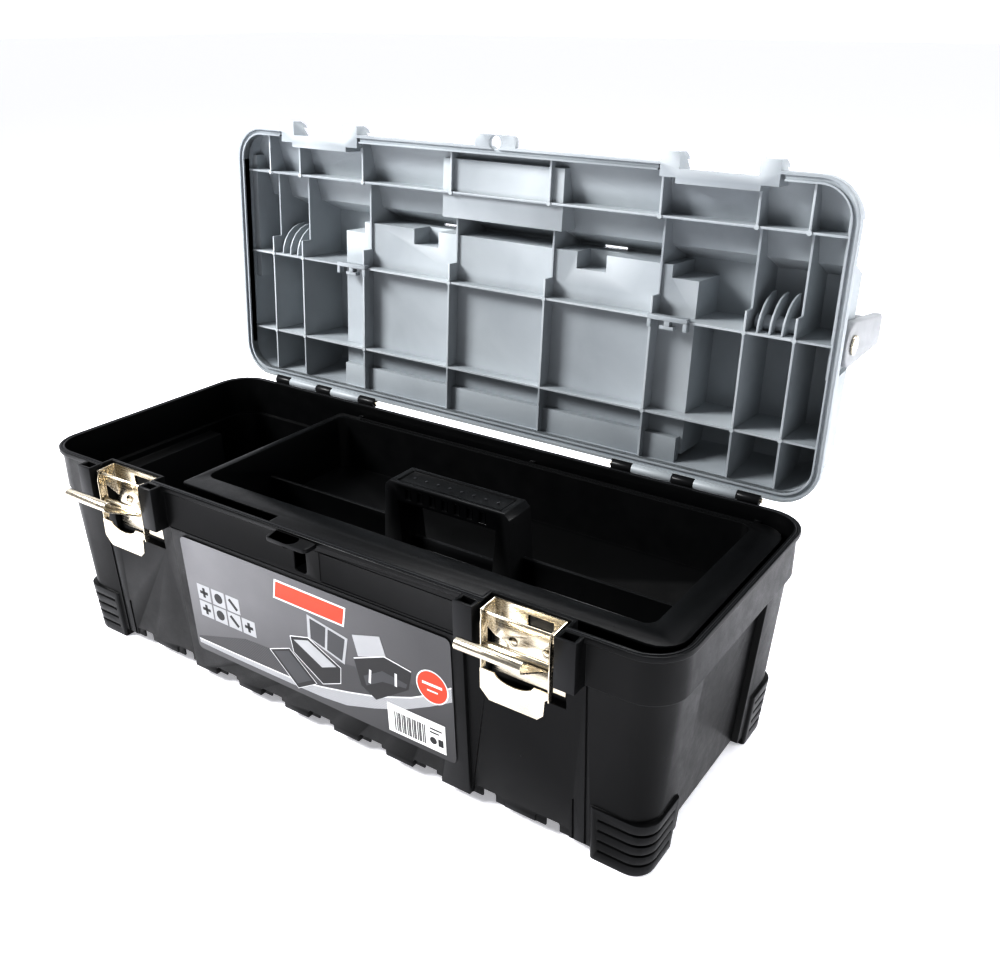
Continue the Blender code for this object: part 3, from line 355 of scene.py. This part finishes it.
mesh = bmesh.new()
rim_x, rim_y, rim_z, rim_round = 0.3300, 0.1283, 0.1985, 0.035
outer, inner = (round_rectangle(-rim_x + inset, rim_x - inset, middle_y - rim_y + inset,
                                middle_y + rim_y - inset, rim_round - inset) for inset in (0.0020, 0.0031))
hoop(mesh, outer, inner, rim_z - 0.0014, rim_z + 0.001)
rim_groove = shape("rim_groove", mesh)
tub = from_node("tub_shell", "tub")
carve(tub, "DIFFERENCE", grooves, front_lines, rim_groove)
finish(tub, "tub", black_pp, ["tub_shell"], 0.0007, 28, 2)

# ---------------------------------------------------------------- Label
# A laminated printed card glued to the front panel: dark grey, with a row of icons, line
# drawings of the box, a silver band, an orange disc and a white code sticker. The words on
# it are left out; a plain orange bar stands where the largest one is.


def ink(name, code, deep, roughness=0.30, lines=0.0):
    """Offset print under a clear film: two close tones in a soft patch pattern, and, when
    lines is set, fine diagonal hatching that far apart in metres."""
    made = bpy.data.materials.new(name)
    made.use_nodes = True
    tree = made.node_tree
    shader = tree.nodes["Principled BSDF"]
    where = add_node(tree, "ShaderNodeTexCoord").outputs["Object"]
    if lines:
        band_at_scale_one = 0.314
        turned = add_node(tree, "ShaderNodeMapping", {
            "Vector": where, "Rotation": (0, math.radians(35), 0)})
        pattern = add_node(tree, "ShaderNodeTexWave", {
            "Vector": turned.outputs["Vector"], "Scale": band_at_scale_one / lines,
            "Distortion": 0.0}, bands_direction="X")
    else:
        pattern = add_node(tree, "ShaderNodeTexNoise", {"Vector": where, "Scale": 24.0, "Detail": 4.0})
    tone = add_node(tree, "ShaderNodeMix", {
        "Factor": pattern.outputs["Fac"], "A": linear(deep), "B": linear(code)}, data_type="RGBA")
    tree.links.new(tone.outputs["Result"], shader.inputs["Base Color"])
    shader.inputs["Roughness"].default_value = roughness
    shader.inputs["Coat Weight"].default_value = 0.35
    shader.inputs["Coat Roughness"].default_value = 0.12
    return made


card = ink("printed_label_grey", "858587", "77777a", 0.32)
card_tree = card.node_tree
spot = add_node(card_tree, "ShaderNodeSeparateXYZ", {
    "Vector": add_node(card_tree, "ShaderNodeTexCoord").outputs["Object"]})
fade = add_node(card_tree, "ShaderNodeMapRange", {
    "Value": spot.outputs["X"], "From Min": -0.15, "From Max": 0.12, "To Min": 1.0, "To Max": 0.30})
low_fade = add_node(card_tree, "ShaderNodeMapRange", {
    "Value": spot.outputs["Z"], "From Min": 0.03, "From Max": 0.11, "To Min": 0.45, "To Max": 1.0})
both = add_node(card_tree, "ShaderNodeMath", {0: fade.outputs["Result"], 1: low_fade.outputs["Result"]},
                operation="MULTIPLY")
tone_link = card_tree.nodes["Principled BSDF"].inputs["Base Color"].links[0].from_socket
shaded = add_node(card_tree, "ShaderNodeMix", {
    "Factor": both.outputs["Value"], "A": linear("242426"), "B": tone_link}, data_type="RGBA")
card_tree.links.new(shaded.outputs["Result"], card_tree.nodes["Principled BSDF"].inputs["Base Color"])
label = from_node("front_label", "label_card")
finish(label, "tub", card, ["front_label"])


card_lean = 0.0434


def card_y(z):
    """Y of the card's face at this height. The front wall leans out as it rises."""
    return middle_y - 0.1194 - card_lean * (z - 0.008)


def printed(name, outlines, finish_material, proud):
    """Flat print on the card: outlines are in millimetres along X and up from the floor."""
    mesh = bmesh.new()
    for outline in outlines:
        points = [(x / 1000, z / 1000) for x, z in outline]
        loft(mesh, [[(x, card_y(z) - lift, z) for x, z in points]
                    for lift in (0, 0.00014 + proud)])
    piece = shape(name, mesh)
    finish(piece, "tub", finish_material, [])
    return piece


def disc(x, z, radius, sides=32):
    turns = [2 * math.pi * side / sides for side in range(sides)]
    return [(x + radius * math.cos(turn), z + radius * math.sin(turn)) for turn in turns]


def strip(points, wide):
    """The outline of a line of this width along the points."""
    left, right = [], []
    for here, point in enumerate(points):
        before, after = points[max(here - 1, 0)], points[min(here + 1, len(points) - 1)]
        along = Vector((after[0] - before[0], after[1] - before[1])).normalized() * wide / 2
        left.append((point[0] - along.y, point[1] + along.x))
        right.append((point[0] + along.y, point[1] - along.x))
    return left + right[::-1]


swoosh_low = [(-146, 40.6), (-99.6, 39.8), (-25.5, 40.2), (8, 41), (35, 44), (66, 54),
              (96.7, 66), (125, 81), (148, 95)]
swoosh_high = [(-146, 45), (-98.5, 45.3), (-20, 46.8), (8, 52), (40, 59.5), (72, 68.5),
               (107.4, 82.5), (128, 94), (148, 108.5)]
hatching = swoosh_high[:-1] + [(146, 107), (112, 96), (40, 88), (-52, 69), (-82, 67.5), (-146, 48)]
printed("label_hatching", [hatching],
        ink("label_hatching_ink", "565658", "2f2f31", 0.32, 0.0022), 0.00003)
printed("label_silver_band", [swoosh_low + swoosh_high[::-1]],
        ink("label_silver_ink", "b9babc", "8f9092", 0.28, 0.0016), 0.00006)
printed("label_band_edge", [strip(swoosh_high, 1.3)], ink("label_white_ink", "e4e4e5", "d4d4d6"), 0.00009)
white_ink = bpy.data.materials["label_white_ink"]
grey_ink = ink("label_pale_grey_ink", "b4b5b7", "a4a5a7")
dark_ink = ink("label_black_ink", "1b1b1d", "131315")
orange_ink = ink("label_orange_ink", "dc4a22", "cf3f1a")
icon_places = ([(-136.5 + 18.6 * column, 92.0) for column in range(3)]
               + [(-136.5 + 18.0 * column, 74.2) for column in range(4)])
tile = 16.2
printed("label_icon_tiles",
        [[(x, z), (x + tile, z), (x + tile, z + tile), (x, z + tile)] for x, z in icon_places],
        grey_ink, 0.00006)
marks = []
for index, (x, z) in enumerate(icon_places):
    middle = (x + tile / 2, z + tile / 2)
    if index % 3 == 0:
        marks += [strip([(middle[0] - 5, middle[1]), (middle[0] + 5, middle[1])], 3),
                  strip([(middle[0], middle[1] - 5), (middle[0], middle[1] + 5)], 3)]
    elif index % 3 == 1:
        marks.append(disc(*middle, 5.0, 20))
    else:
        marks.append(strip([(middle[0] - 4.5, middle[1] + 4.5), (middle[0] + 4.5, middle[1] - 4.5)], 3.2))
printed("label_icon_marks", marks, dark_ink, 0.00010)
printed("label_name_bar_edge", [[(-37.5, 126.5), (41.5, 125.2), (45.5, 144.8), (-33.5, 146.2)]],
        white_ink, 0.00006)
printed("label_name_bar", [[(-35.4, 128.3), (40.0, 127.1), (43.4, 143.0), (-32.0, 144.2)]],
        orange_ink, 0.00011)
drawn_case = [(-23, 93), (-1.6, 99), (33, 81.5), (31, 65), (10, 56), (-21, 77)]
drawn_tray = [(-51, 69), (-26, 79), (2.4, 53), (-21, 39)]
printed("label_drawing_bodies", [
    drawn_case, drawn_tray,
    [(49, 98), (82, 112), (109, 108), (105, 89), (69.5, 64.5), (54.5, 73)]], dark_ink, 0.00013)
printed("label_drawing_lids", [[(0.3, 123), (44.4, 115), (38, 87), (-1.6, 99)],
                               [(-19.5, 90.5), (-2, 96), (28, 80.5), (11, 73.5)],
                               [(49.5, 121), (79, 130), (84, 112.5), (54, 101.5)]], grey_ink, 0.00016)
printed("label_drawing_shade", [[(3.2, 120), (20.5, 117), (17, 95.5), (1.8, 99.6)],
                                [(23, 116.4), (41, 113), (35.6, 90), (19.6, 94.8)],
                                [(-46, 68.6), (-27, 76), (-3.4, 54.4), (-21.5, 43.6)],
                                [(58, 84), (79, 97), (104, 94), (102.5, 89.5), (78, 86), (60, 75)]],
        ink("label_drawing_ink", "4a4b4e", "3c3d40"), 0.00019)
printed("label_drawing_lines", [
    strip(drawn_case + drawn_case[:1], 0.9), strip(drawn_tray + drawn_tray[:1], 0.9),
    strip([(49, 98), (82, 112), (109, 108)], 1.0),
    strip([(64, 79), (66, 93)], 2.4), strip([(92, 87), (93, 100)], 2.4)],
        white_ink, 0.00022)
printed("label_disc_edge", [disc(129.2, 101.5, 15.8)], white_ink, 0.00013)
printed("label_disc", [disc(129.2, 101.5, 14.5)], orange_ink, 0.00017)
printed("label_disc_lines",
        [strip([(119.5, 103.6), (139, 103.6)], 2.6), strip([(124, 97.6), (134.5, 97.6)], 1.6)],
        white_ink, 0.00021)
printed("code_sticker", [[(81, 39), (139.5, 39), (139.5, 67.5), (81, 67.5)]],
        ink("sticker_white_paper", "f2f2f0", "e6e6e4", 0.5), 0.00022)
printed("code_sticker_marks", [strip([(124, 60), (136, 60)], 1.4), strip([(124, 56.5), (133, 56.5)], 1.4),
                               disc(127, 48.5, 3.4, 16), [(132, 45), (137, 45), (137, 52), (132, 52)]],
        dark_ink, 0.00026)


def repeated(name, unit, points, finish_material, body):
    """Copies of a unit mesh set on points, made with Geometry Nodes."""
    group = bpy.data.node_groups.new(name + "_repeat", "GeometryNodeTree")
    group.interface.new_socket("Points", in_out="INPUT", socket_type="NodeSocketGeometry")
    group.interface.new_socket("Unit", in_out="INPUT", socket_type="NodeSocketObject")
    finish_socket = group.interface.new_socket("Finish", in_out="INPUT", socket_type="NodeSocketMaterial")
    group.interface.new_socket("Copies", in_out="OUTPUT", socket_type="NodeSocketGeometry")
    given = add_node(group, "NodeGroupInput")
    unit_mesh = add_node(group, "GeometryNodeObjectInfo", {"Object": given.outputs["Unit"]})
    copies = add_node(group, "GeometryNodeInstanceOnPoints", {
        "Points": given.outputs["Points"], "Instance": unit_mesh.outputs["Geometry"]})
    real = add_node(group, "GeometryNodeRealizeInstances", {"Geometry": copies.outputs["Instances"]})
    finished = add_node(group, "GeometryNodeSetMaterial", {
        "Geometry": real.outputs["Geometry"], "Material": given.outputs["Finish"]})
    add_node(group, "NodeGroupOutput", {"Copies": finished.outputs["Geometry"]})
    data = bpy.data.meshes.new(name)
    data.from_pydata([tuple(point) for point in points], [], [])
    piece = place(name, data)
    repeat = piece.modifiers.new("repeat", "NODES")
    repeat.node_group = group
    unit_socket = next(item for item in group.interface.items_tree if item.name == "Unit")
    repeat[unit_socket.identifier] = unit
    repeat[finish_socket.identifier] = finish_material
    plain(piece)
    bpy.data.objects.remove(unit)
    finish(piece, body, finish_material, [])
    return piece


mesh = bmesh.new()
loft(mesh, [[(x, -card_lean * z - lift, z) for x, z in ((0, 0), (0.0009, 0), (0.0009, 0.019), (0, 0.019))]
            for lift in (0, 0.00045)])
code_bar = shape("code_bar", mesh)
code_places = [88 + 1.75 * step + (0.5 if step % 3 else 0) for step in range(18)]
code_low = 0.042
repeated("code_sticker_bars", code_bar, [(x / 1000, card_y(code_low), code_low) for x in code_places],
         dark_ink, "tub")

# ---------------------------------------------------------------- Lid
# The hinged lid, one moulding of grey polypropylene. Ribs stiffen it inside, the organiser's
# box stands in its middle, and a second lip runs round inside its rim.
# Sizes below are (along X, from the hinge edge, above the rim's face), in metres.
grey_pp = moulded_plastic("grey_polypropylene", "b0b5b8", "a3a8ac", "cbcfd1", 0.44, 0.0008, 0.45)
hinge = Vector(next(joint for joint in frame["joints"] if joint["name"] == "lid_hinge")["pos_m"])
lid_half, lid_deep, lid_round = 0.3283, 0.2629, 0.0335
lid_turn = Matrix.Rotation(math.radians(-93.9), 4, "X")
lid_space = (Matrix.Translation(hinge) @ lid_turn
             @ Matrix(((1, 0, 0, 0), (0, -1, 0, -0.00305), (0, 0, 1, -0.0007), (0, 0, 0, 1))))


def rim_strip(mesh, near, far, low, high):
    """A band round the rim's inside, open across the front between the latches' seats."""
    paths = []
    for inset in (near, far):
        outline = round_rectangle(-lid_half + inset, lid_half - inset, inset,
                                  lid_deep - inset, lid_round - inset)
        turn = len(outline) // 4 * 3
        front = lid_deep - inset
        paths.append([(-0.2665, front)] + outline[turn:] + outline[:turn] + [(0.2665, front)])
    loft(mesh, [[(*first, low), (*second, low), (*second, high), (*first, high)]
                for first, second in zip(*paths)])
    box(mesh, (-0.160, 0.160), (lid_deep - far, lid_deep - near), (low, high))


mesh = bmesh.new()
rim_strip(mesh, 0.0020, 0.0074, 0.0022, 0.0085)
rim_strip(mesh, 0.0058, 0.0074, 0.0004, 0.0085)
for side in (-1, 1):
    for x in (0.2565, 0.2670, 0.2775):
        fin = [(0.1345 + 0.031 * math.sin(turn), 0.0105 + 0.034 * (1 - math.cos(turn)))
               for turn in [math.radians(15 * step) for step in range(7)]] + [(0.1345, 0.0445)]
        loft(mesh, [[(side * x + offset, s, d) for s, d in fin] for offset in (-0.0009, 0.0009)])
    boss = [(0.1415 + 0.0065 * math.cos(turn), 0.0265 + 0.0065 * math.sin(turn))
            for turn in [math.radians(20 * step) for step in range(18)]]
    loft(mesh, [[(x, s, d) for s, d in boss] for x in sorted((side * 0.2500, side * 0.2840))])
for left in (-0.1935, 0.1610):
    middle = left + 0.0185
    box(mesh, (left, left + 0.037), (0.1335, 0.1375), (0.0035, 0.0100))
    for x in (left, left + 0.0335):
        box(mesh, (x, x + 0.0035), (0.1265, 0.1340), (0.0035, 0.0100))
    box(mesh, (middle - 0.0025, middle + 0.0025), (0.1290, 0.1340), (0.0035, 0.0100))
    box(mesh, (middle - 0.0065, middle + 0.0065), (0.1262, 0.1292), (0.0035, 0.0100))
box(mesh, (-0.194, 0.194), (0.0045, 0.0290), (0.0150, 0.0240))
lid_details = shape("lid_details", mesh, lid_space)
lid = from_node("lid_shell", "lid")
join(lid, lid_details)
finish(lid, "lid", grey_pp, ["lid_shell"], 0.0005, 30, 2, True)

mesh = bmesh.new()
turns = [math.radians(30 * step) for step in range(12)]
loft(mesh, [[(0.0022 * math.cos(turn), 0.0022 * math.sin(turn), d) for turn in turns]
            for d in (-0.0008, 0.0020)])
stud = shape("lid_stud", mesh, lid_turn)
crossings = [lid_space @ Vector((side * x, s, 0.0080)) for side in (-1, 1)
             for x in (0.054, 0.162, 0.2465, 0.289)
             for s in (0.050, 0.134, 0.2185) if x > 0.06 or s > 0.1]
repeated("lid_rib_studs", stud, crossings, grey_pp, "lid")

# ---------------------------------------------------------------- Organiser covers
# Two clear polystyrene lids over the small-parts wells, faintly grey and a little scuffed.
clear = bpy.data.materials.new("clear_polystyrene")
clear.use_nodes = True
tree = clear.node_tree
shader = tree.nodes["Principled BSDF"]
scuffs = add_node(tree, "ShaderNodeTexNoise", {
    "Vector": add_node(tree, "ShaderNodeTexCoord").outputs["Object"], "Scale": 45.0, "Detail": 6.0})
haze = add_node(tree, "ShaderNodeMapRange", {
    "Value": scuffs.outputs["Fac"], "From Min": 0.4, "From Max": 0.75, "To Min": 0.06, "To Max": 0.28})
tree.links.new(haze.outputs["Result"], shader.inputs["Roughness"])
tint = add_node(tree, "ShaderNodeMix", {
    "Factor": scuffs.outputs["Fac"], "A": linear("e9edf0"), "B": linear("f6f8f9")}, data_type="RGBA")
tree.links.new(tint.outputs["Result"], shader.inputs["Base Color"])
shader.inputs["Transmission Weight"].default_value = 0.92
shader.inputs["IOR"].default_value = 1.59
for side in ("left", "right"):
    cover = from_node("organiser_cover_" + side, "clear_cover_" + side)
    finish(cover, "cover_" + side, clear, ["organiser_cover_" + side], 0.0004)

# ---------------------------------------------------------------- Tray
# The lift-out tray, black like the tub: a shallow well with a wide flange and a low wall
# along it, and a bar handle with a ribbed grip that stands in its middle.
tray = from_node("tray_shell", "tray")
tray_bar = from_node("tray_handle", "tray_bar_handle")
low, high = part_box("tray_handle")
mesh = bmesh.new()
box(mesh, (low[0] + 0.0150, high[0] - 0.0150), (low[1] + 0.0045, high[1] - 0.0045),
    (high[2] - 0.0012, high[2] + 0.001))
for step in range(7):
    x = low[0] + 0.0270 + step * 0.0130
    box(mesh, (x, x + 0.0055), (low[1] - 0.001, low[1] + 0.0009), (high[2] - 0.0145, high[2] - 0.0045))
grip_cuts = shape("grip_cuts", mesh)
tray_low, tray_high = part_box("tray_shell")
mesh = bmesh.new()
for inset, wide in ((0.0024, 0.0009), (0.0048, 0.0007)):
    box(mesh, (tray_low[0] + 0.030, tray_high[0] - 0.030),
        (tray_high[1] - inset - wide, tray_high[1] - inset),
        (tray_high[2] - 0.0007, tray_high[2] + 0.001))
flange_lines = shape("flange_lines", mesh)
carve(tray, "DIFFERENCE", flange_lines)
carve(tray_bar, "DIFFERENCE", grip_cuts)
finish(tray, "tray", black_pp, ["tray_shell"], 0.0007)
finish(tray_bar, "tray", black_pp, ["tray_handle"], 0.0011)
mesh = bmesh.new()
loft(mesh, [[(radius * math.cos(turn), radius * math.sin(turn), z) for turn in turns]
            for z, radius in ((-0.0004, 0.0016), (0.0006, 0.0012))])
bump = shape("grip_bump", mesh)
repeated("tray_grip_bumps", bump, [(low[0] + 0.025 + step * 0.0125, (low[1] + high[1]) / 2, high[2] - 0.0012)
                                   for step in range(8)], black_pp, "tray")

# ---------------------------------------------------------------- Carrying handle
# A bail of light grey polypropylene: two flat arms and the grip bar between them, turning
# on a pin in each end of the lid.
light_pp = moulded_plastic("light_grey_polypropylene", "a4a6a8", "9c9ea1", "bcbdbf", 0.40, 0.0008, 0.45)
for node in ("handle_arm_left", "handle_arm_right", "handle_grip"):
    piece = from_node(node, node + "_moulding")
    finish(piece, "handle", light_pp, [node], 0.0013, 28, 3)

# ---------------------------------------------------------------- Latches and pins
# Draw latches pressed from 1 mm steel and bright nickel plated, with their pins, rivets and
# the hinge's pins. The plating is warm, a little uneven and rubbed along the box.
nickel = bpy.data.materials.new("nickel_plated_steel")
nickel.use_nodes = True
tree = nickel.node_tree
shader = tree.nodes["Principled BSDF"]
where = add_node(tree, "ShaderNodeTexCoord").outputs["Object"]
cloud = add_node(tree, "ShaderNodeTexNoise", {"Vector": where, "Scale": 38.0, "Detail": 5.0})
tone = add_node(tree, "ShaderNodeMix", {
    "Factor": cloud.outputs["Fac"], "A": linear("cfc6b4"), "B": linear("efe9dc")}, data_type="RGBA")
tree.links.new(tone.outputs["Result"], shader.inputs["Base Color"])
rubbed = add_node(tree, "ShaderNodeMapping", {"Vector": where, "Scale": (60, 900, 900)})
streaks = add_node(tree, "ShaderNodeTexNoise", {
    "Vector": rubbed.outputs["Vector"], "Scale": 1.0, "Detail": 4.0})
polish = add_node(tree, "ShaderNodeMapRange", {
    "Value": streaks.outputs["Fac"], "From Min": 0.3, "From Max": 0.7, "To Min": 0.16, "To Max": 0.34})
tree.links.new(polish.outputs["Result"], shader.inputs["Roughness"])
dents = add_node(tree, "ShaderNodeBump", {
    "Height": cloud.outputs["Fac"], "Strength": 0.25, "Distance": 0.0006})
tree.links.new(dents.outputs["Normal"], shader.inputs["Normal"])
shader.inputs["Metallic"].default_value = 1.0
holders = {"latch_base": "tub", "latch_rivet": "tub", "hinge_pin": "tub", "handle_pin": "handle",
           "latch_lever": "lever", "lever_pin": "lever", "hook_pin": "lever", "latch_hook": "hook"}
for node in sorted(frame["nodes"]):
    kind = next((kind for kind in holders if node.startswith(kind)), None)
    if kind is None:
        continue
    body = holders[kind]
    if body in ("lever", "hook"):
        body += "_left" if "left" in node else "_right"
    piece = from_node(node, node + "_steel")
    finish(piece, body, nickel, [node], 0.00025 if "rivet" not in node else 0.0, 30, 2)
